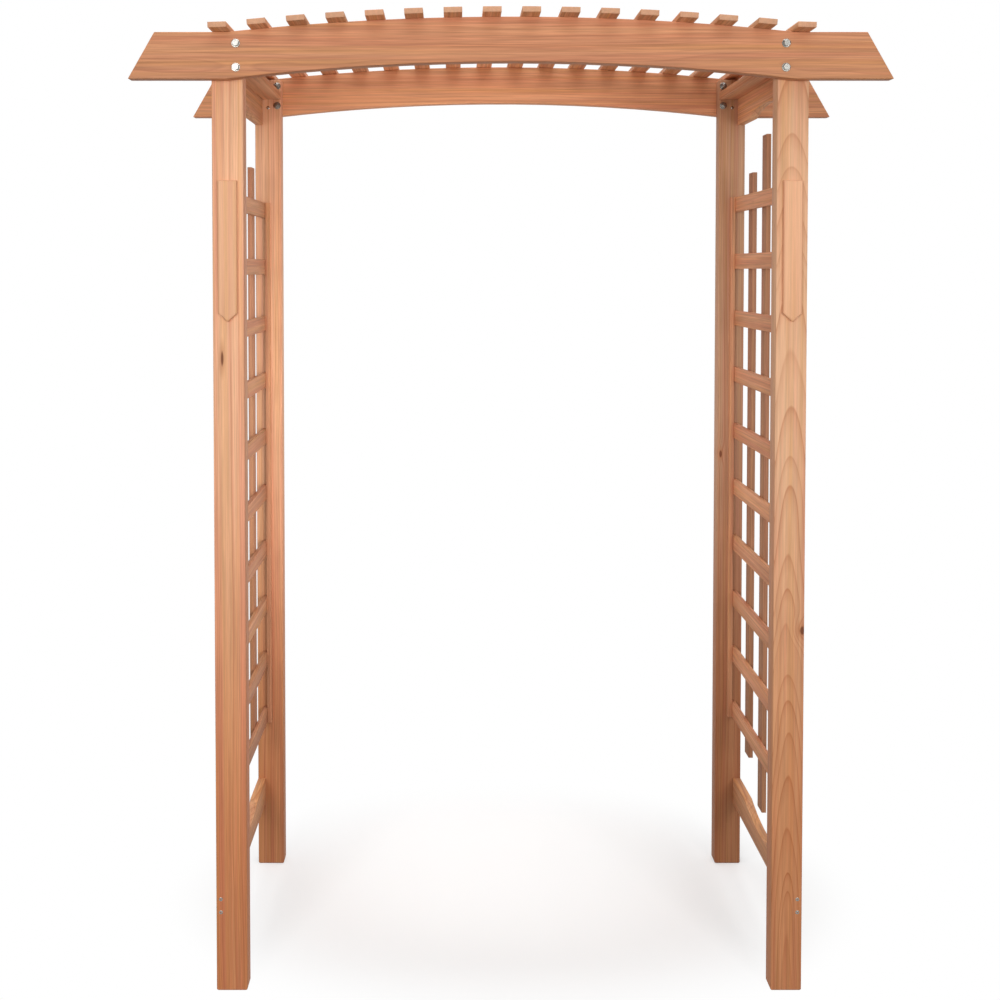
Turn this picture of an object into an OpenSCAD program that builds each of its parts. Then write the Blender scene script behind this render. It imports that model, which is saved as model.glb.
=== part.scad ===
// Garden arbor in planed cedar: four posts, two arched beams, sixteen slats on top,
// and a lattice between the posts on each side.
// X runs across the passage, Y runs from the front to the back and Z is up from the ground.

/* [Posts] */
// Height of a post
post_h = 1981; // [1700:1:2400]
// Width of a post, across the passage
post_w = 64; // [50:1:90]
// Depth of a post, front to back
post_d = 38; // [30:1:60]
// Clear width between the left and the right posts
passage_w = 1094; // [800:1:1500]
// Clear depth between the front and the rear posts
bay_d = 479; // [380:1:700]
// Chamfer round the foot of a post
foot_chamfer = 3; // [1:0.5:6]

/* [Beams] */
// Length of the front beam along its lower edge
beam_len = 1549; // [1450:1:2100]
// Height of a beam at its ends
beam_h = 94; // [80:1:130]
// Thickness of a beam
beam_t = 28; // [20:1:45]
// How far a beam stands above the top of the posts
beam_above_post = 7; // [0:1:20]
// How far the lower tip of a beam reaches past its upper corner
beam_rake = 54; // [20:1:80]
// Half the width of a beam's arch
arch_half_w = 577; // [400:1:700]
// Rise of the arch in a beam's lower edge
arch_rise_below = 35; // [20:1:50]
// Rise of the arch in a beam's upper edge
arch_rise_above = 31; // [15:1:45]
// Extra length at the right end of the rear beam
rear_beam_extra = 60; // [0:1:80]

/* [Top slats] */
// Number of slats across the top
slat_count = 16; // [8:1:16]
// Distance from one slat to the next, centre to centre
slat_pitch = 78; // [60:1:85]
// Width of a slat
slat_w = 37; // [25:1:50]
// Thickness of a slat
slat_t = 11; // [8:0.5:18]
// How far a slat reaches past a beam's outer face
slat_overhang = 43; // [20:1:120]

/* [Side headers and bottom rails] */
// Thickness of a side header and of a bottom rail
board_t = 19; // [12:1:25]
// Height of a side header
header_h = 112; // [80:1:140]
// Height of a bottom rail
rail_h = 64; // [50:1:100]
// Height of a bottom rail's lower edge above the ground
rail_z = 157; // [100:1:250]
// Half the width of the arch cut in a header and in a rail
cut_half_w = 125; // [80:1:160]
// Depth of that arch
cut_rise = 20; // [10:1:30]
// How far the flat plate beside a header lies below the posts' tops
plate_drop = 30; // [28:1:34]

/* [Side lattices] */
// Width of the laths
lath_w = 37; // [25:1:45]
// Thickness of the laths
lath_t = 10.5; // [8:0.5:12]
// Number of rungs on each side
rung_count = 10; // [6:1:10]
// Distance from one rung to the next, centre to centre
rung_pitch = 141; // [100:1:145]
// Height of the lowest rung's middle above the ground
rung_z = 401; // [350:1:450]
// How far the middle upright reaches past the first and the last rung's middle
middle_reach = 147; // [60:1:150]
// How far the two outer uprights reach past the first and the last rung's middle
outer_reach = 70; // [20:1:100]
// How much lower the rungs of the left lattice sit than those of the right one
left_rung_drop = 14; // [0:1:20]
// How much higher the uprights of the left lattice sit than those of the right one
left_upright_rise = 12; // [0:1:16]
// Width of the cleat that carries the rungs' ends, across the passage
cleat_w = 11; // [8:0.5:14]
// Depth of the cleat, front to back
cleat_d = 16; // [10:1:30]
// How far the lattice stays inside the outer face of the posts
lattice_inset = 5; // [0:0.5:8]

/* [Plaques] */
// Width of a plaque
plaque_w = 39; // [25:1:46]
// Length of a plaque, with its point
plaque_len = 290; // [150:1:350]
// Length of the point
plaque_point = 18; // [8:1:30]
// Thickness of a plaque
plaque_t = 10; // [6:1:14]
// Drop from the top of the post to the top of the plaque
plaque_drop = 290; // [150:1:500]
// Slope along the plaque's edges
plaque_bevel = 2.5; // [1:0.5:4]

/* [Hidden] */
// The pieces; the top slats are counted from the left
SLATS = ["top_slat_01", "top_slat_02", "top_slat_03", "top_slat_04", "top_slat_05", "top_slat_06",
         "top_slat_07", "top_slat_08", "top_slat_09", "top_slat_10", "top_slat_11", "top_slat_12",
         "top_slat_13", "top_slat_14", "top_slat_15", "top_slat_16"];
POSTS = ["front_left_post", "front_right_post", "rear_left_post", "rear_right_post"];
CLEATS = ["front_left_cleat", "front_right_cleat", "rear_left_cleat", "rear_right_cleat"];
PLAQUES = ["front_left_plaque", "front_right_plaque", "rear_left_plaque", "rear_right_plaque"];

// Side of the passage and of the bay on which each corner piece stands: [left or right, front or rear]
CORNERS = [[-1, -1], [1, -1], [-1, 1], [1, 1]];

post_in_x = passage_w / 2;
post_out_x = post_in_x + post_w;
post_mid_x = post_in_x + post_w / 2;
post_in_y = bay_d / 2;
post_out_y = post_in_y + post_d;
beam_out_y = post_out_y + beam_t;

beam_top_z = post_h + beam_above_post;
beam_low_z = beam_top_z - beam_h;

lattice_out_x = post_out_x - lattice_inset;
rung_out_x = lattice_out_x - lath_t;
cleat_out_x = rung_out_x - lath_t;
rung_top_z = rung_z + (rung_count - 1) * rung_pitch;

slat_len = 2 * (beam_out_y + slat_overhang);

// Number of sides on the large arcs
arc_fn = 720;

// Radius of an arc from half its width and its rise
function arc_radius(half_w, rise) = (half_w * half_w + rise * rise) / (2 * rise);

upper_r = arc_radius(arch_half_w, arch_rise_above);

// Height of the beams' upper edge at a distance from the middle
function beam_edge_z(x) =
    abs(x) >= arch_half_w ? beam_top_z
    : beam_top_z + arch_rise_above - upper_r + sqrt(upper_r * upper_r - x * x);

// Slope of the beams' upper edge there, in degrees
function beam_edge_slope(x) = abs(x) >= arch_half_w ? 0 : -asin(x / upper_r);

// A slat that lies over the end of the arch bridges it, and touches the beams with its two edges
function bridges_arch_end(x) = abs(abs(x) - arch_half_w) < slat_w / 2;
function slat_seat_z(x) =
    bridges_arch_end(x) ? (beam_edge_z(x - slat_w / 2) + beam_edge_z(x + slat_w / 2)) / 2
    : beam_edge_z(x);
function slat_slope(x) =
    bridges_arch_end(x) ? atan((beam_edge_z(x + slat_w / 2) - beam_edge_z(x - slat_w / 2)) / slat_w)
    : beam_edge_slope(x);

// The origin lies under the middle of the whole arbor, so the passage is off it by half the extra length
module in_frame() {
    translate([-rear_beam_extra / 2, 0, 0]) children();
}

// A disc whose top lies at z = rise over the middle of a chord at z = 0
module arch_disc(half_w, rise) {
    r = arc_radius(half_w, rise);
    translate([0, rise - r]) circle(r = r, $fn = arc_fn);
}

// Stands a flat outline drawn in X and Z upright, with its thickness from y0 to y0 + t
module upright_outline(y0, t) {
    translate([0, y0 + t, 0]) rotate([90, 0, 0]) linear_extrude(height = t) children();
}

// One post, with a chamfered foot, in its own middle
module post_body() {
    in_w = post_w - 2 * foot_chamfer;
    in_d = post_d - 2 * foot_chamfer;
    translate([-post_w / 2, -post_d / 2, foot_chamfer]) cube([post_w, post_d, post_h - foot_chamfer]);
    hull() {
        translate([-in_w / 2, -in_d / 2, 0]) cube([in_w, in_d, foot_chamfer]);
        translate([-post_w / 2, -post_d / 2, foot_chamfer]) cube([post_w, post_d, foot_chamfer]);
    }
}

module post(corner) {
    color("peru") in_frame()
        translate([corner[0] * post_mid_x, corner[1] * (post_in_y + post_d / 2), 0]) post_body();
}

// Outline of a beam: raked ends, an arched upper edge and an arch cut from below
module beam_outline(extra) {
    half = beam_len / 2;
    difference() {
        union() {
            polygon([[-half, 0], [half + extra, 0], [half + extra - beam_rake, beam_h],
                     [-half + beam_rake, beam_h]]);
            translate([0, beam_h]) intersection() {
                arch_disc(arch_half_w, arch_rise_above);
                translate([-arch_half_w, -1]) square([2 * arch_half_w, arch_rise_above + 2]);
            }
        }
        arch_disc(arch_half_w, arch_rise_below);
    }
}

module front_beam() {
    color("sandybrown") in_frame()
        translate([0, 0, beam_low_z]) upright_outline(-beam_out_y, beam_t) beam_outline(0);
}

module rear_beam() {
    color("sandybrown") in_frame()
        translate([0, 0, beam_low_z]) upright_outline(post_out_y, beam_t) beam_outline(rear_beam_extra);
}

// One slat, flat on the beams' upper edges
module top_slat(i) {
    x = (i - (slat_count - 1) / 2) * slat_pitch;
    color("burlywood") in_frame()
        translate([x, 0, slat_seat_z(x)]) rotate([0, -slat_slope(x), 0])
            translate([-slat_w / 2, -slat_len / 2, 0]) cube([slat_w, slat_len, slat_t]);
}

// Stands an outline drawn in Y and Z on the outer side of the posts, board_t thick
module side_board(side, z) {
    x0 = side > 0 ? post_out_x - board_t : -post_out_x;
    translate([x0, 0, z]) rotate([90, 0, 90]) linear_extrude(height = board_t) children();
}

// Header between the tops of a front and a rear post, arched underneath
module side_header(side) {
    color("chocolate") in_frame() side_board(side, post_h - header_h) difference() {
        translate([-post_in_y, 0]) square([bay_d, header_h]);
        arch_disc(cut_half_w, cut_rise);
    }
}

// Flat plate that ties a front and a rear post together, between their bolts and beside the header
module top_plate(side) {
    width = post_w - board_t;
    x0 = side > 0 ? post_in_x : -post_in_x - width;
    color("peru") in_frame() translate([x0, -post_in_y, post_h - plate_drop - board_t])
        cube([width, bay_d, board_t]);
}

// Bottom rail, with the same arc hollowed out of its upper edge
module bottom_rail(side) {
    color("chocolate") in_frame() side_board(side, rail_z) difference() {
        translate([-post_in_y, 0]) square([bay_d, rail_h]);
        translate([0, rail_h]) mirror([0, 1]) arch_disc(cut_half_w, cut_rise);
    }
}

// One lath of a lattice, from its inner face at from_x outwards
module lath(side, from_x, y0, z0, width, height) {
    x0 = side > 0 ? from_x : -from_x - lath_t;
    translate([x0, y0, z0]) cube([lath_t, width, height]);
}

// Rungs on the inner side and three uprights on the outer side, fused where they cross
module lattice(side) {
    drop = side > 0 ? 0 : left_rung_drop;
    rise = side > 0 ? 0 : left_upright_rise;
    color("tan") in_frame() union() {
        for (i = [0:rung_count - 1])
            lath(side, cleat_out_x, -post_in_y, rung_z - drop + i * rung_pitch - lath_w / 2, bay_d, lath_w);
        for (k = [-1:1]) {
            reach = k == 0 ? middle_reach : outer_reach;
            lath(side, rung_out_x, k * bay_d / 4 - lath_w / 2, rung_z + rise - reach,
                 lath_w, rung_top_z - rung_z + 2 * reach);
        }
    }
}

// Cleat on the inner face of the bay, which carries the ends of the rungs
module cleat(corner) {
    drop = corner[0] > 0 ? 0 : left_rung_drop;
    x0 = corner[0] > 0 ? cleat_out_x - cleat_w : -cleat_out_x;
    y0 = corner[1] > 0 ? post_in_y - cleat_d : -post_in_y;
    color("burlywood") in_frame()
        translate([x0, y0, rung_z - drop - lath_w / 2])
            cube([cleat_w, cleat_d, rung_top_z - rung_z + lath_w]);
}

// Outline of a plaque, pointed below, with its upper edge at z = 0
module plaque_outline(inset) {
    half = plaque_w / 2 - inset;
    shoulder = plaque_len - plaque_point;
    tip_inset = inset * sqrt(1 + pow(2 * plaque_point / plaque_w, 2));
    polygon([[-half, -inset], [half, -inset], [half, -shoulder],
             [0, -plaque_len + tip_inset], [-half, -shoulder]]);
}

// Plaque on the outer face of a post, bevelled all round its edges
module plaque(corner) {
    color("sandybrown") in_frame()
        translate([corner[0] * post_mid_x, corner[1] * post_out_y, post_h - plaque_drop])
            rotate([0, 0, corner[1] > 0 ? 180 : 0]) hull() {
                upright_outline(-plaque_t + plaque_bevel, plaque_t - plaque_bevel) plaque_outline(0);
                upright_outline(-plaque_t, plaque_bevel) plaque_outline(plaque_bevel);
            }
}

for (i = [0:3]) {
    post(CORNERS[i]);
    cleat(CORNERS[i]);
    plaque(CORNERS[i]);
}
front_beam();
rear_beam();
side_header(-1);  // left_header
side_header(1);  // right_header
top_plate(-1);  // left_top_plate
top_plate(1);  // right_top_plate
bottom_rail(-1);  // left_bottom_rail
bottom_rail(1);  // right_bottom_rail
lattice(-1);  // left_lattice
lattice(1);  // right_lattice
for (i = [0:slat_count - 1])
    top_slat(i);
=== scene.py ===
# Garden arbor in planed cedar. Every timber is cut from its CAD solid, gets eased edges and carries
# its own grain, so that one cedar material serves all the boards of a kind.
import math
import random
from functools import partial

import bmesh
import bpy
from mathutils import Matrix, Vector


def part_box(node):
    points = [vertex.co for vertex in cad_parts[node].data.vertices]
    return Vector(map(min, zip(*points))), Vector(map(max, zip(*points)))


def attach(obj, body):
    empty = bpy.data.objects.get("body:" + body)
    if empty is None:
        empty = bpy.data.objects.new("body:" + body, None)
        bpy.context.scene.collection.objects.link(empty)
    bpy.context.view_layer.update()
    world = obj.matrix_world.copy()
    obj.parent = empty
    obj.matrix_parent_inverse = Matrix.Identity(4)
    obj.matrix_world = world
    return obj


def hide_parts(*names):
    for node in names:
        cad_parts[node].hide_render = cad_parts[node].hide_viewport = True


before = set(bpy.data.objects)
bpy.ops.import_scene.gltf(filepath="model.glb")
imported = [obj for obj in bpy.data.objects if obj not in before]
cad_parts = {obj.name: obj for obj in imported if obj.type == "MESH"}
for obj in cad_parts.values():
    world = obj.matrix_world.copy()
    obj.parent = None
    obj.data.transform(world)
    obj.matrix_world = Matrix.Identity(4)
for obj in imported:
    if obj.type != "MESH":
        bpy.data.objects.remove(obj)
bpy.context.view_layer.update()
print("frame loaded:", len(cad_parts), "nodes")

mm = 0.001
xAxis, yAxis, zAxis = 0, 1, 2


def toLinear(code):  # sRGB hex to the linear colour that a shader takes
    parts = [int(code[i:i + 2], 16) / 255 for i in (1, 3, 5)]
    return [p / 12.92 if p <= 0.04045 else ((p + 0.055) / 1.055) ** 2.4 for p in parts] + [1.0]


def addNode(tree, kind, links=None, **settings):  # adds a node, sets it, and feeds its sockets
    node = tree.nodes.new(kind)
    for key, value in settings.items():
        setattr(node, key, value)
    for key, value in (links or {}).items():
        if isinstance(value, bpy.types.NodeSocket):
            tree.links.new(value, node.inputs[key])
        else:
            node.inputs[key].default_value = value
    return node


def setStops(ramp, stops):  # puts (place, colour) stops on a colour ramp
    while len(ramp.elements) < len(stops):
        ramp.elements.new(0.5)
    for element, (place, colour) in zip(ramp.elements, stops):
        element.position = place
        element.color = colour if len(colour) == 4 else [colour[0]] * 3 + [1.0]


# ---- cedar -------------------------------------------------------------------------------------
# Western red cedar, planed and left raw: a soft satin surface, salmon to honey in colour, with thin
# dark latewood lines that run straight on quarter-sawn faces and in arches on flat-sawn ones.
cedarLook = {
    "early": "#DDA67D",         # wide pale part of a ring
    "late": "#A65B2D",          # thin dark line that ends it
    "salmon": "#D28E6B",        # pinkish bands
    "honey": "#CF935E",         # yellowish bands
    "knot": "#6E3A20",
    "foot": "#FFFFFF",          # painted shade that darkens the low end of a long board
    "end": "#D2A587",           # sawn end
    "endPale": 0.55,            # how far the ends go to that colour
    "ringMm": 5.2,              # distance between growth rings
    "ringDepth": 0.62,          # how dark the latewood lines read
    "wanderMm": 620,            # length over which the trunk bends once
    "bandMm": 13,               # width of the broad colour bands
    "streakMm": 4.4,            # width of the narrow streaks; finer ones would not show
    "streakDepth": 0.20,
    "fibreMm": 0.7,             # width of the fibres left by the planer
    "roughness": 0.60,
    "reliefMm": 0.12,
}


def cedar(name, **changes):
    look = {**cedarLook, **changes}
    material = bpy.data.materials.new(name)
    material.use_nodes = True
    tree = material.node_tree
    tree.nodes.clear()
    put = partial(addNode, tree)

    # What each board carries: millimetres along, across and through it, and its own numbers
    grain = put("ShaderNodeAttribute", attribute_name="grain").outputs["Vector"]
    boardVector = put("ShaderNodeAttribute", attribute_name="board").outputs["Vector"]
    board = put("ShaderNodeSeparateXYZ", {0: boardVector})
    pith = put("ShaderNodeAttribute", attribute_name="pith").outputs["Vector"]
    knotVector = put("ShaderNodeAttribute", attribute_name="knot").outputs["Vector"]
    knot = put("ShaderNodeSeparateXYZ", {0: knotVector})
    knotLong = put("ShaderNodeAttribute", attribute_name="knotLong").outputs["Fac"]
    endGrain = put("ShaderNodeAttribute", attribute_name="endGrain").outputs["Fac"]
    seed = put("ShaderNodeCombineXYZ", {0: board.outputs[0], 1: board.outputs[0], 2: board.outputs[0]})

    # The trunk wanders along the board, which turns straight rings into arches
    slow = put("ShaderNodeVectorMath", {0: grain, 1: (1 / look["wanderMm"], 0.004, 0.004), 2: seed.outputs[0]},
               operation="MULTIPLY_ADD")
    wander = put("ShaderNodeTexNoise", {"Vector": slow.outputs[0], "Scale": 1.0, "Detail": 2.0, "Roughness": 0.4})
    wanderMid = put("ShaderNodeVectorMath", {0: wander.outputs["Color"], 1: (0.5, 0.5, 0.5)}, operation="SUBTRACT")
    reach = put("ShaderNodeSeparateXYZ", {0: pith})
    bend = put("ShaderNodeVectorMath", {0: wanderMid.outputs[0], "Scale": reach.outputs[0]}, operation="SCALE")
    fromPith = put("ShaderNodeVectorMath", {0: grain, 1: pith}, operation="SUBTRACT")
    bent = put("ShaderNodeVectorMath", {0: fromPith.outputs[0], 1: bend.outputs[0]}, operation="ADD")
    flat = put("ShaderNodeVectorMath", {0: bent.outputs[0], 1: (0, 1, 1)}, operation="MULTIPLY")
    radius = put("ShaderNodeVectorMath", {0: flat.outputs[0]}, operation="LENGTH").outputs["Value"]

    # A knot pushes the rings aside
    across = put("ShaderNodeMath", {0: 1.0, 1: knot.outputs[2]}, operation="DIVIDE")
    along = put("ShaderNodeMath", {0: across.outputs[0], 1: knotLong}, operation="DIVIDE")
    knotScale = put("ShaderNodeCombineXYZ", {0: along.outputs[0], 1: across.outputs[0], 2: 0.0})
    knotAt = put("ShaderNodeCombineXYZ", {0: knot.outputs[0], 1: knot.outputs[1], 2: 0.0})
    fromKnot = put("ShaderNodeVectorMath", {0: grain, 1: knotAt.outputs[0]}, operation="SUBTRACT")
    knotUnits = put("ShaderNodeVectorMath", {0: fromKnot.outputs[0], 1: knotScale.outputs[0]}, operation="MULTIPLY")
    knotDist = put("ShaderNodeVectorMath", {0: knotUnits.outputs[0]}, operation="LENGTH").outputs["Value"]
    knotSquare = put("ShaderNodeMath", {0: knotDist, 1: knotDist}, operation="MULTIPLY")
    knotFall = put("ShaderNodeMath", {0: knotSquare.outputs[0], 1: -0.09}, operation="MULTIPLY")
    knotBell = put("ShaderNodeMath", {0: knotFall.outputs[0]}, operation="EXPONENT")
    knotPush = put("ShaderNodeMath", {0: knotBell.outputs[0], 1: knot.outputs[2]}, operation="MULTIPLY")
    pushed = put("ShaderNodeMath", {0: knotPush.outputs[0], 1: 1.9, 2: radius}, operation="MULTIPLY_ADD")

    # Rings of uneven width, each with its own depth
    uneven = put("ShaderNodeTexNoise", {"W": pushed.outputs[0], "Scale": 0.055, "Detail": 1.0},
                 noise_dimensions="1D")
    ringCount = put("ShaderNodeMath", {0: pushed.outputs[0], 1: 1 / look["ringMm"]}, operation="MULTIPLY")
    ringPhase = put("ShaderNodeMath", {0: uneven.outputs["Fac"], 1: 3.0, 2: ringCount.outputs[0]},
                    operation="MULTIPLY_ADD")
    ringPart = put("ShaderNodeMath", {0: ringPhase.outputs[0]}, operation="FRACT")
    ringShape = put("ShaderNodeValToRGB", {"Fac": ringPart.outputs[0]})
    setStops(ringShape.color_ramp, [(0.0, (0.06,)), (0.5, (0.1,)), (0.82, (0.5,)), (0.94, (1.0,)), (1.0, (0.06,))])
    ringIndex = put("ShaderNodeMath", {0: ringPhase.outputs[0]}, operation="FLOOR")
    ringOwn = put("ShaderNodeTexWhiteNoise", {"W": ringIndex.outputs[0]}, noise_dimensions="1D")
    ringGain = put("ShaderNodeMapRange", {"Value": ringOwn.outputs["Value"], "To Min": 0.45, "To Max": 1.0})
    ring = put("ShaderNodeMath", {0: ringShape.outputs["Color"], 1: ringGain.outputs["Result"]}, operation="MULTIPLY")
    ringFac = put("ShaderNodeMath", {0: ring.outputs[0], 1: look["ringDepth"]}, operation="MULTIPLY")

    # Broad bands, narrow streaks and fibres, all drawn out along the board
    bandMap = put("ShaderNodeVectorMath",
                  {0: grain, 1: (1 / 900, 1 / look["bandMm"], 1 / look["bandMm"]), 2: seed.outputs[0]},
                  operation="MULTIPLY_ADD")
    band = put("ShaderNodeTexNoise", {"Vector": bandMap.outputs[0], "Scale": 1.0, "Detail": 2.0, "Roughness": 0.5})
    bandXyz = put("ShaderNodeSeparateXYZ", {0: band.outputs["Color"]})
    streakMap = put("ShaderNodeVectorMath",
                    {0: grain, 1: (1 / 210, 1 / look["streakMm"], 1 / look["streakMm"]), 2: seed.outputs[0]},
                    operation="MULTIPLY_ADD")
    streak = put("ShaderNodeTexNoise", {"Vector": streakMap.outputs[0], "Scale": 1.0, "Detail": 3.0,
                                        "Roughness": 0.6})
    fibreMap = put("ShaderNodeVectorMath",
                   {0: grain, 1: (1 / 38, 1 / look["fibreMm"], 1 / look["fibreMm"]), 2: seed.outputs[0]},
                   operation="MULTIPLY_ADD")
    fibre = put("ShaderNodeTexNoise", {"Vector": fibreMap.outputs[0], "Scale": 1.0, "Detail": 2.0})

    salmonFac = put("ShaderNodeMapRange", {"Value": bandXyz.outputs[0], "From Min": 0.38, "From Max": 0.66})
    salmonOwn = put("ShaderNodeMath", {0: salmonFac.outputs["Result"], 1: board.outputs[2]}, operation="ADD",
                    use_clamp=True)
    honeyFac = put("ShaderNodeMapRange", {"Value": bandXyz.outputs[1], "From Min": 0.48, "From Max": 0.72,
                                          "To Max": 0.8})
    pale = put("ShaderNodeMix", {"Factor": salmonOwn.outputs[0], 6: toLinear(look["early"]),
                                 7: toLinear(look["salmon"])}, data_type="RGBA")
    body = put("ShaderNodeMix", {"Factor": honeyFac.outputs["Result"], 6: pale.outputs[2],
                                 7: toLinear(look["honey"])}, data_type="RGBA")
    ringed = put("ShaderNodeMix", {"Factor": ringFac.outputs[0], 6: body.outputs[2], 7: toLinear(look["late"])},
                 data_type="RGBA")
    streakTone = put("ShaderNodeMapRange", {"Value": streak.outputs["Fac"], "From Min": 0.32, "From Max": 0.68,
                                            "To Min": 1 - look["streakDepth"], "To Max": 1 + look["streakDepth"]})
    fibreTone = put("ShaderNodeMapRange", {"Value": fibre.outputs["Fac"], "From Min": 0.3, "From Max": 0.7,
                                           "To Min": 0.95, "To Max": 1.05})
    tone = put("ShaderNodeMath", {0: streakTone.outputs["Result"], 1: fibreTone.outputs["Result"]},
               operation="MULTIPLY")
    ownTone = put("ShaderNodeMath", {0: tone.outputs[0], 1: board.outputs[1]}, operation="MULTIPLY")
    toned = put("ShaderNodeVectorMath", {0: ringed.outputs[2], "Scale": ownTone.outputs[0]}, operation="SCALE")

    # Sawn ends are paler and duller than the planed faces, some more than others
    endPart = put("ShaderNodeMath", {0: endGrain, 1: look["endPale"]}, operation="MULTIPLY")
    ended = put("ShaderNodeMix", {"Factor": endPart.outputs[0], 6: toned.outputs[0], 7: toLinear(look["end"])},
                data_type="RGBA")

    # Painted shade: the low end of a long board is darkened, standing in for the light that falls off towards the
    # floor; only the posts use it
    alongBoard = put("ShaderNodeSeparateXYZ", {0: grain})
    lowShadeFall = put("ShaderNodeMapRange", {"Value": alongBoard.outputs[0], "From Min": 250.0, "From Max": -750.0},
               interpolation_type="SMOOTHSTEP")
    lowShadeTint = put("ShaderNodeMix", {"Factor": lowShadeFall.outputs["Result"], 6: (1, 1, 1, 1), 7: toLinear(look["foot"])},
                   data_type="RGBA")
    lowShaded = put("ShaderNodeVectorMath", {0: ended.outputs[2], 1: lowShadeTint.outputs[2]}, operation="MULTIPLY")

    # The knot itself, with a ragged rim and a warm halo
    ragged = put("ShaderNodeMath", {0: streak.outputs["Fac"], 1: 0.9, 2: knotDist}, operation="MULTIPLY_ADD")
    halo = put("ShaderNodeMapRange", {"Value": ragged.outputs[0], "From Min": 3.6, "From Max": 1.2, "To Max": 0.45})
    core = put("ShaderNodeMapRange", {"Value": ragged.outputs[0], "From Min": 1.65, "From Max": 1.15, "To Max": 0.92})
    haloed = put("ShaderNodeMix", {"Factor": halo.outputs["Result"], 6: lowShaded.outputs[0], 7: toLinear(look["late"])},
                 data_type="RGBA")
    knotted = put("ShaderNodeMix", {"Factor": core.outputs["Result"], 6: haloed.outputs[2],
                                    7: toLinear(look["knot"])}, data_type="RGBA")

    # Latewood stands a little proud of the planed face, and the fibres give it a nap
    height = put("ShaderNodeMath", {0: ring.outputs[0], 1: 0.6, 2: fibre.outputs["Fac"]}, operation="MULTIPLY_ADD")
    relief = put("ShaderNodeBump", {"Height": height.outputs[0], "Strength": 0.55,
                                    "Distance": look["reliefMm"] * mm})
    gloss = put("ShaderNodeMapRange", {"Value": ring.outputs[0], "To Min": look["roughness"] + 0.04,
                                       "To Max": look["roughness"] - 0.08})
    shader = put("ShaderNodeBsdfPrincipled", {"Base Color": knotted.outputs[2], "Roughness": gloss.outputs["Result"],
                                              "Normal": relief.outputs["Normal"], "Specular IOR Level": 0.32,
                                              "IOR": 1.5})
    put("ShaderNodeOutputMaterial", {"Surface": shader.outputs["BSDF"]})
    return material


# The posts' colour for their low ends is painted shade, which darkens them towards the floor
postCedar = cedar("postCedar", streakDepth=0.13, early="#DFB08A", salmon="#D6987A", honey="#D3A070", foot="#E9CDB6")
beamCedar = cedar("beamCedar", early="#CC9069", salmon="#C4815E", honey="#C98D5C", late="#985A38", ringMm=6.4,
                  ringDepth=0.45, streakDepth=0.2, wanderMm=380)
slatCedar = cedar("slatCedar", early="#D6A077", salmon="#CE8D66", ringMm=2.6)
lathCedar = cedar("lathCedar", early="#C28D69", salmon="#B5795A", honey="#B98659", late="#8A5233", ringMm=2.6)
boardCedar = cedar("boardCedar", early="#CF9A72", salmon="#C68A66")
plaqueCedar = cedar("plaqueCedar", early="#EBB58D", salmon="#E4A985", honey="#E4AE7C", ringMm=1.9, ringDepth=0.2,
                    streakMm=2.2, streakDepth=0.08)
print("cedar made")


# ---- timbers -----------------------------------------------------------------------------------
eased = {"edgeMm": 1.4, "lathEdgeMm": 0.8, "segments": 2}
randomBoard = random.Random(31)


def markBoard(mesh, centre, axes, seed, tone, salmon, pith, knot, knotLong, taper=0.0):
    count = len(mesh.vertices)
    along, across, through = axes
    grain = mesh.attributes.new("grain", "FLOAT_VECTOR", "POINT")
    values = []
    for vertex in mesh.vertices:
        offset = (vertex.co - centre) / mm
        values += [offset[along], offset[across], offset[through]]
    grain.data.foreach_set("vector", values)
    # the heart lies deeper towards one end, which draws arches on a flat-sawn face
    hearts = []
    for i in range(count):
        hearts += [pith[0], pith[1], pith[2] + taper * values[3 * i]]
    mesh.attributes.new("pith", "FLOAT_VECTOR", "POINT").data.foreach_set("vector", hearts)
    for name, vector in (("board", (seed, tone, salmon)), ("knot", knot)):
        mesh.attributes.new(name, "FLOAT_VECTOR", "POINT").data.foreach_set("vector", list(vector) * count)
    mesh.attributes.new("knotLong", "FLOAT", "POINT").data.foreach_set("value", [knotLong] * count)
    ends = [1.0 if abs(face.normal[along]) > 0.75 else 0.0 for face in mesh.polygons]
    mesh.attributes.new("endGrain", "FLOAT", "FACE").data.foreach_set("value", ends)


def easeEdges(work, edgeMm):  # rounds every sharp edge of a timber a little
    bmesh.ops.remove_doubles(work, verts=work.verts, dist=0.01 * mm)
    bmesh.ops.dissolve_limit(work, angle_limit=math.radians(0.2), verts=work.verts, edges=work.edges)
    sharp = [e for e in work.edges if len(e.link_faces) == 2 and e.calc_face_angle(0) > math.radians(25)]
    bmesh.ops.bevel(work, geom=sharp, offset=edgeMm * mm, segments=eased["segments"], profile=0.5,
                    affect="EDGES", clamp_overlap=True)


def finishPiece(mesh, name, material, nodes):
    mesh.materials.append(material)
    for face in mesh.polygons:
        face.use_smooth = True
    piece = bpy.data.objects.new(name, mesh)
    bpy.context.scene.collection.objects.link(piece)
    mesh.set_sharp_from_angle(angle=math.radians(35))
    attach(piece, "root")
    if nodes:
        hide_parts(*nodes)
    return piece


def timber(node, axes, material, slotName, pith=(0, 60, 12), wander=14, knot=(1e6, 0, 1), knotLong=1.0, tone=1.0,
           salmon=0.0, taper=0.0):
    work = bmesh.new()
    work.from_mesh(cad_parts[node].data)
    easeEdges(work, eased["lathEdgeMm"] if "slat" in node or "cleat" in node else eased["edgeMm"])
    mesh = bpy.data.meshes.new(node + "_wood")
    work.to_mesh(mesh)
    work.free()
    low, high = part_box(node)
    markBoard(mesh, (low + high) / 2, axes, randomBoard.uniform(5, 400), tone * randomBoard.uniform(0.97, 1.03),
              salmon, (wander, pith[1], pith[2]), knot, knotLong, taper)
    return finishPiece(mesh, node + "_timber", material, [node])


upright = (zAxis, xAxis, yAxis)
crosswise = (xAxis, zAxis, yAxis)
deep = (yAxis, xAxis, zAxis)
sideways = (yAxis, zAxis, xAxis)
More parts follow.
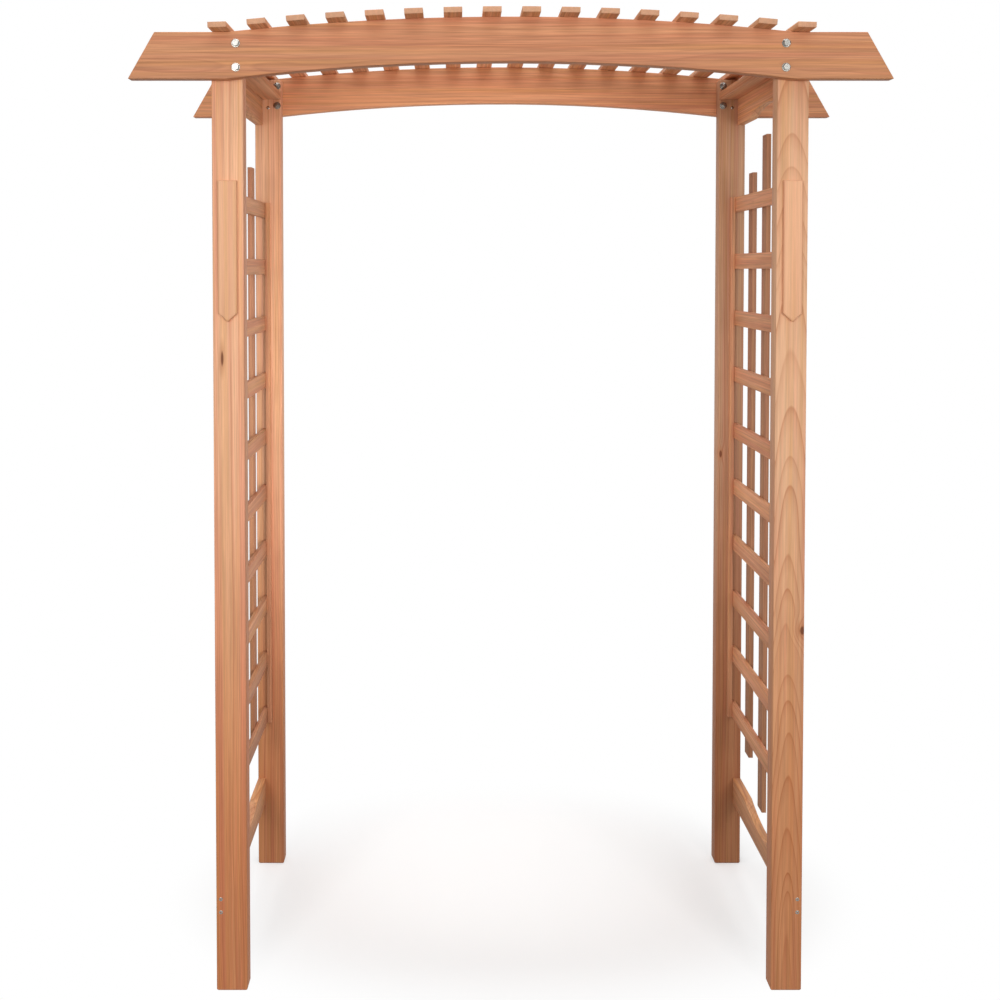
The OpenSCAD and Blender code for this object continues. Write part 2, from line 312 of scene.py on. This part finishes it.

# pith: where the heart of the tree lies from the board's middle, across and through it, in millimetres;
# near and behind the face it gives arches, far to the side it gives straight lines
# The tones of front_left_post (1.22) and rear_right_post (0.66) are painted light and painted shade: the first is lit
# more from the left-front, the second stands in shade at the right rear
postGrain = {
    "front_left_post": {"pith": (0, 120, 30), "wander": 26, "knot": (335, -13, 2.6), "knotLong": 6.0,
                        "tone": 1.22, "salmon": 0.2},
    "front_right_post": {"pith": (0, 4, 52), "wander": 26, "taper": 0.06, "knot": (-230, 28, 5.5), "knotLong": 1.5,
                         "tone": 1.04, "salmon": -0.2},
    "rear_left_post": {"pith": (0, 70, 30), "wander": 24, "tone": 1.02, "salmon": 0.1},
    "rear_right_post": {"pith": (0, -90, 20), "wander": 20, "knot": (55, -24, 3.4), "knotLong": 2.4,
                        "tone": 0.66, "salmon": 0.1},
}
for node, grain in postGrain.items():
    timber(node, upright, postCedar, "post_cedar", **grain)

timber("front_beam", crosswise, beamCedar, "beam_cedar", pith=(0, -38, 30), wander=26)
# The rear beam's tone of 1.14 is painted light, brightening a beam that stands in the shade of the top
timber("rear_beam", crosswise, beamCedar, "beam_cedar", pith=(0, 60, 24), wander=22, tone=1.14)
for side in ("left", "right"):
    # Header tones are painted light and painted shade: the right header is brightened by 1.3 and the left darkened to
    # 0.95, for how the light falls on their inner faces
    timber(side + "_header", sideways, boardCedar, "board_cedar", pith=(0, 30, 26), wander=20,
           tone=1.3 if side == "right" else 0.95)
    timber(side + "_bottom_rail", sideways, boardCedar, "board_cedar", pith=(0, -50, 22), wander=20)
    timber(side + "_top_plate", deep, boardCedar, "board_cedar", pith=(0, 10, -40), wander=24, tone=1.08)

slatNodes = sorted(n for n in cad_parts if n.startswith("top_slat"))
for node in slatNodes:
    timber(node, deep, slatCedar, "slat_cedar", pith=(0, randomBoard.uniform(-40, 40), randomBoard.uniform(14, 50)),
           wander=16, tone=randomBoard.uniform(0.9, 1.1), salmon=randomBoard.uniform(-0.2, 0.4))

corners = [front + "_" + side for front in ("front", "rear") for side in ("left", "right")]
for corner in corners:
    timber(corner + "_cleat", upright, lathCedar, "lath_cedar", pith=(0, 30, 12), wander=12, tone=1.12)
    timber(corner + "_plaque", upright, plaqueCedar, "plaque_cedar", pith=(0, 60, 40), wander=8)
print("timbers cut")


# ---- lattices ----------------------------------------------------------------------------------
# The two side tones are painted light: the right lattice's rungs are brightened by 1.32 against the left's 0.98, for
# how the light falls on their inner faces
lattice = {"rungs": 10, "widthMm": 37, "thickMm": 10.5, "outerShorterMm": 77, "leftPaintedLightTone": 0.98, "rightPaintedLightTone": 1.32}


def addLath(store, low, high, axes, **own):
    lath = bmesh.new()
    bmesh.ops.create_cube(lath, size=1)
    size = high - low
    middle = (low + high) / 2
    for vertex in lath.verts:
        vertex.co = Vector([vertex.co[i] * size[i] + middle[i] for i in range(3)])
    easeEdges(lath, eased["lathEdgeMm"])
    mesh = bpy.data.meshes.new("lath")
    lath.to_mesh(mesh)
    lath.free()
    markBoard(mesh, middle, axes, **own)
    store.append(mesh)


def joinMeshes(name, meshes):  # joins meshes with all that their points and faces carry
    objects = []
    for mesh in meshes:
        piece = bpy.data.objects.new(name, mesh)
        bpy.context.scene.collection.objects.link(piece)
        objects.append(piece)
    with bpy.context.temp_override(active_object=objects[0], selected_editable_objects=objects):
        bpy.ops.object.join()
    joined = objects[0].data
    bpy.data.objects.remove(objects[0])
    return joined


def makeLattice(side):
    low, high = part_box(side + "_lattice")
    cleatLow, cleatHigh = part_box("front_" + side + "_cleat")
    thick = lattice["thickMm"] * mm
    rungX = (low.x, low.x + thick) if side == "right" else (high.x - thick, high.x)
    uprightX = (rungX[1], high.x) if side == "right" else (low.x, rungX[0])
    depth = high.y - low.y
    width = lattice["widthMm"] * mm
    pitch = (cleatHigh.z - cleatLow.z - width) / (lattice["rungs"] - 1)
    laths = []
    for i in range(lattice["rungs"]):
        z = cleatLow.z + i * pitch
        addLath(laths, Vector((rungX[0], low.y, z)), Vector((rungX[1], high.y, z + width)), sideways,
                seed=randomBoard.uniform(5, 400), tone=randomBoard.uniform(0.92, 1.08) * lattice[side + "PaintedLightTone"],
                salmon=randomBoard.uniform(-0.1, 0.5), pith=(12, randomBoard.uniform(-50, 50), 24),
                knot=(1e6, 0, 1), knotLong=1.0)
    for k in (-1, 0, 1):
        y = (low.y + high.y) / 2 + k * depth / 4
        short = 0 if k == 0 else lattice["outerShorterMm"] * mm
        addLath(laths, Vector((uprightX[0], y - width / 2, low.z + short)),
                Vector((uprightX[1], y + width / 2, high.z - short)), (zAxis, yAxis, xAxis),
                seed=randomBoard.uniform(5, 400), tone=randomBoard.uniform(0.72, 0.92),
                salmon=randomBoard.uniform(0, 0.5), pith=(14, randomBoard.uniform(-50, 50), 24),
                knot=(1e6, 0, 1), knotLong=1.0)
    finishPiece(joinMeshes(side + "_lattice_wood", laths), side + "_lattice_laths", lathCedar,
                [side + "_lattice"])


for side in ("left", "right"):
    makeLattice(side)
print("lattices nailed up")


# ---- bolts and screws --------------------------------------------------------------------------
# Bright zinc on steel: cool and shiny, a little dulled by the plating
def zincPlate(name, roughness):
    material = bpy.data.materials.new(name)
    material.use_nodes = True
    tree = material.node_tree
    tree.nodes.clear()
    put = partial(addNode, tree)
    place = put("ShaderNodeNewGeometry").outputs["Position"]
    spangle = put("ShaderNodeTexNoise", {"Vector": place, "Scale": 900.0, "Detail": 2.0})
    colour = put("ShaderNodeMix", {"Factor": spangle.outputs["Fac"], 6: toLinear("#55544F"), 7: toLinear("#B4B2AC")},
                 data_type="RGBA")
    gloss = put("ShaderNodeMapRange", {"Value": spangle.outputs["Fac"], "To Min": roughness - 0.08,
                                       "To Max": roughness + 0.1})
    shader = put("ShaderNodeBsdfPrincipled", {"Base Color": colour.outputs[2], "Metallic": 1.0,
                                              "Roughness": gloss.outputs["Result"]})
    put("ShaderNodeOutputMaterial", {"Surface": shader.outputs["BSDF"]})
    return material


zinc = zincPlate("zincPlate", 0.24)
bolt = {"washerMm": 17.5, "washerThickMm": 1.6, "hexMm": 13, "headMm": 5.3, "nutMm": 6.5, "shankMm": 8,
        "tailMm": 5, "upperDropMm": 22.5, "lowerDropMm": 71}


def turned(work, profile, sides, place, turn):  # turns (radius, height) pairs into a closed body
    rings = []
    for radius, height in profile:
        ring = [work.verts.new((radius * mm * math.cos(2 * math.pi * i / sides),
                                radius * mm * math.sin(2 * math.pi * i / sides), height * mm))
                for i in range(sides)]
        rings.append(ring)
    for lower, upper in zip(rings, rings[1:]):
        for i in range(sides):
            j = (i + 1) % sides
            work.faces.new((lower[i], lower[j], upper[j], upper[i]))
    work.faces.new(list(reversed(rings[0])))
    work.faces.new(rings[-1])
    made = [v for ring in rings for v in ring]
    bmesh.ops.transform(work, matrix=Matrix.Translation(place) @ turn, verts=made)


def washerProfile(z):
    r, t = bolt["washerMm"] / 2, bolt["washerThickMm"]
    return [(r - 0.3, z), (r, z + 0.3), (r, z + t - 0.4), (r - 0.4, z + t)]


def hexProfile(z, height):  # corners of the hexagon, chamfered on the outer side
    r = bolt["hexMm"] / math.sqrt(3)
    return [(r, z), (r, z + height - 1.0), (r - 0.9, z + height)]


def hardwarePiece(name, work):
    mesh = bpy.data.meshes.new(name)
    work.to_mesh(mesh)
    work.free()
    return finishPiece(mesh, name, zinc, [])


def makeBolts(corner):
    end, side = corner.split("_")
    postLow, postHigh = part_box(corner + "_post")
    beamLow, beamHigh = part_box(end + "_beam")
    passageX = postHigh.x if side == "left" else postLow.x
    x = passageX + (-1 if side == "left" else 1) * bolt["washerMm"] / 2 * mm
    outward = -1 if end == "front" else 1
    beamFace = beamLow.y if end == "front" else beamHigh.y
    postFace = postHigh.y if end == "front" else postLow.y
    out = Matrix.Rotation(math.radians(-90 * outward), 4, "X")
    back = Matrix.Rotation(math.radians(90 * outward), 4, "X")
    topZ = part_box(corner + "_post")[1].z + 7 * mm
    t = bolt["washerThickMm"]
    for label, drop in (("upper", bolt["upperDropMm"]), ("lower", bolt["lowerDropMm"])):
        work = bmesh.new()
        z = topZ - drop * mm
        spin = Matrix.Rotation(randomBoard.uniform(0, 1), 4, "Z")
        turned(work, washerProfile(0), 32, Vector((x, beamFace, z)), out)
        turned(work, hexProfile(t, bolt["headMm"]), 6, Vector((x, beamFace, z)), out @ spin)
        turned(work, washerProfile(0), 32, Vector((x, postFace, z)), back)
        turned(work, hexProfile(t, bolt["nutMm"]), 6, Vector((x, postFace, z)), back @ spin)
        r = bolt["shankMm"] / 2
        tail = t + bolt["nutMm"] + bolt["tailMm"]
        turned(work, [(r, t), (r, tail - 1), (r - 1, tail)], 20, Vector((x, postFace, z)), back)
        hardwarePiece(corner + "_" + label + "_bolt", work)


def screwHead(work, place, turn):  # countersunk head with a shallow round recess
    turned(work, [(3.6, -0.6), (3.9, 0.05), (3.4, 0.35), (1.3, 0.45), (0.8, -0.5)], 20, place, turn)


def makeScrews(corner):
    end, side = corner.split("_")
    postLow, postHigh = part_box(corner + "_post")
    railLow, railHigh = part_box(side + "_bottom_rail")
    outward = -1 if end == "front" else 1
    outFace = postLow.y if end == "front" else postHigh.y
    inFace = postHigh.y if end == "front" else postLow.y
    out = Matrix.Rotation(math.radians(-90 * outward), 4, "X")
    back = Matrix.Rotation(math.radians(90 * outward), 4, "X")
    work = bmesh.new()
    for share in (0.16, 0.59):
        z = railLow.z + share * (railHigh.z - railLow.z)
        screwHead(work, Vector(((railLow.x + railHigh.x) / 2, outFace, z)), out)
    screwHead(work, Vector(((postLow.x + postHigh.x) / 2, inFace, postHigh.z - 69 * mm)), back)
    hardwarePiece(corner + "_screws", work)


for corner in corners:
    makeBolts(corner)
    makeScrews(corner)

nails = bmesh.new()
for node in slatNodes:  # two flush nails where each slat crosses each beam
    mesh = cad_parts[node].data
    top = max(mesh.polygons, key=lambda face: face.normal.z * face.area)
    tilt = top.normal.to_track_quat("Z", "Y").to_matrix().to_4x4()
    low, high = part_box(node)
    for beam in ("front_beam", "rear_beam"):
        beamLow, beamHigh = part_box(beam)
        for shift in (-9 * mm, 9 * mm):
            x = (low.x + high.x) / 2 + shift
            y = (beamLow.y + beamHigh.y) / 2
            z = top.center.z - ((x - top.center.x) * top.normal.x) / top.normal.z
            turned(nails, [(1.6, -0.6), (1.7, -0.02), (1.4, 0.02)], 12, Vector((x, y, z)), tilt)
hardwarePiece("slat_nails", nails)
print("bolts, screws and nails in")


# ---- floor, light and camera -------------------------------------------------------------------
studio = {"floorHex": "#F4F4F4", "bounceHex": "#8C8781", "floorLift": 0.15, "clearFrom": 0.42, "clearTo": 0.86,
          "ambient": 0.40}

floorMesh = bpy.data.meshes.new("floor")
floorMesh.from_pydata([(-30, -30, 0), (30, -30, 0), (30, 30, 0), (-30, 30, 0)], [], [(0, 1, 2, 3)])
floor = bpy.data.objects.new("floor", floorMesh)
bpy.context.scene.collection.objects.link(floor)
floorMaterial = bpy.data.materials.new("paleFloor")
floorMaterial.use_nodes = True
floorTree = floorMaterial.node_tree
floorTree.nodes.clear()
put = partial(addNode, floorTree)
rays = put("ShaderNodeLightPath")
matt = put("ShaderNodeBsdfDiffuse", {"Color": toLinear(studio["floorHex"])})
lift = put("ShaderNodeEmission", {"Color": (1, 1, 1, 1), "Strength": studio["floorLift"]})
bounce = put("ShaderNodeBsdfDiffuse", {"Color": toLinear(studio["bounceHex"])})
plainWhite = put("ShaderNodeEmission", {"Color": (1, 1, 1, 1), "Strength": 1.0})
lifted = put("ShaderNodeAddShader", {0: matt.outputs[0], 1: lift.outputs[0]})
place = put("ShaderNodeNewGeometry").outputs["Position"]
fromMiddle = put("ShaderNodeVectorMath", {0: place, 1: (0, -0.15, 0)}, operation="ADD")
oval = put("ShaderNodeVectorMath", {0: fromMiddle.outputs[0], 1: (1, 1.5, 1)}, operation="MULTIPLY")
farOff = put("ShaderNodeVectorMath", {0: oval.outputs[0]}, operation="LENGTH")
fade = put("ShaderNodeMapRange", {"Value": farOff.outputs["Value"], "From Min": studio["clearFrom"],
                                  "From Max": studio["clearTo"]}, interpolation_type="SMOOTHSTEP")
seen = put("ShaderNodeMixShader", {0: fade.outputs["Result"], 1: lifted.outputs[0], 2: plainWhite.outputs[0]})
glossyOrCamera = put("ShaderNodeMath", {0: rays.outputs["Is Camera Ray"], 1: rays.outputs["Is Glossy Ray"]},
                     operation="MAXIMUM")
viewed = put("ShaderNodeMath", {0: glossyOrCamera.outputs[0], 1: rays.outputs["Is Transmission Ray"]},
             operation="MAXIMUM")
floorShader = put("ShaderNodeMixShader", {0: viewed.outputs[0], 1: bounce.outputs[0], 2: seen.outputs[0]})
put("ShaderNodeOutputMaterial", {"Surface": floorShader.outputs[0]})
floorMesh.materials.append(floorMaterial)

world = bpy.data.worlds.new("studioAir")
bpy.context.scene.world = world
world.use_nodes = True
worldTree = world.node_tree
worldTree.nodes.clear()
put = partial(addNode, worldTree)
rays = put("ShaderNodeLightPath")
glossyOrCamera = put("ShaderNodeMath", {0: rays.outputs["Is Camera Ray"], 1: rays.outputs["Is Glossy Ray"]},
                     operation="MAXIMUM")
viewed = put("ShaderNodeMath", {0: glossyOrCamera.outputs[0], 1: rays.outputs["Is Transmission Ray"]},
             operation="MAXIMUM")
air = put("ShaderNodeBackground", {"Color": (1, 1, 1, 1), "Strength": studio["ambient"]})
backdrop = put("ShaderNodeBackground", {"Color": (1, 1, 1, 1), "Strength": 1.0})
sky = put("ShaderNodeMixShader", {0: viewed.outputs[0], 1: air.outputs[0], 2: backdrop.outputs[0]})
put("ShaderNodeOutputWorld", {"Surface": sky.outputs[0]})

lamps = {
    "leftSoftbox": {"at": (-1.3, -3.6, 1.85), "aim": (0, 0, 1.7), "size": (1.2, 1.2), "watts": 52},
    "rightSoftbox": {"at": (1.5, -3.6, 1.6), "aim": (0, 0, 1.6), "size": (1.2, 1.2), "watts": 44},
    "overhead": {"at": (0.0, 0.3, 4.2), "aim": (0, 0.3, 0), "size": (2.6, 2.6), "watts": 66},
    "passagePanel": {"at": (-0.15, -0.19, 1.16), "aim": (-0.15, 1.0, 1.16), "size": (0.6, 1.2), "watts": 5.6},
}
for name, lamp in lamps.items():
    data = bpy.data.lights.new(name, "AREA")
    data.shape = "RECTANGLE"
    data.size, data.size_y = lamp["size"]
    data.energy = lamp["watts"]
    light = bpy.data.objects.new(name, data)
    light.visible_camera = False
    light.location = lamp["at"]
    light.rotation_euler = (Vector(lamp["aim"]) - Vector(lamp["at"])).to_track_quat("-Z", "Y").to_euler()
    bpy.context.scene.collection.objects.link(light)

view = {"eyeM": 1.508, "leftM": 0.115, "awayM": 2.367, "downDeg": 1.65, "lens": 41.47, "shift": (0.046, -0.197)}
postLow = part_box("front_left_post")[0]
passageMid = (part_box("front_left_post")[1].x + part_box("front_right_post")[0].x) / 2
cameraData = bpy.data.cameras.new("camera")
cameraData.lens = view["lens"]
cameraData.sensor_width = 36
cameraData.shift_x, cameraData.shift_y = view["shift"]
camera = bpy.data.objects.new("camera", cameraData)
camera.location = (passageMid - view["leftM"], postLow.y - view["awayM"], view["eyeM"])
camera.rotation_euler = (math.radians(90 - view["downDeg"]), 0, 0)
bpy.context.scene.collection.objects.link(camera)
bpy.context.scene.camera = camera
bpy.context.scene.view_settings.view_transform = "Standard"
print("studio lit")
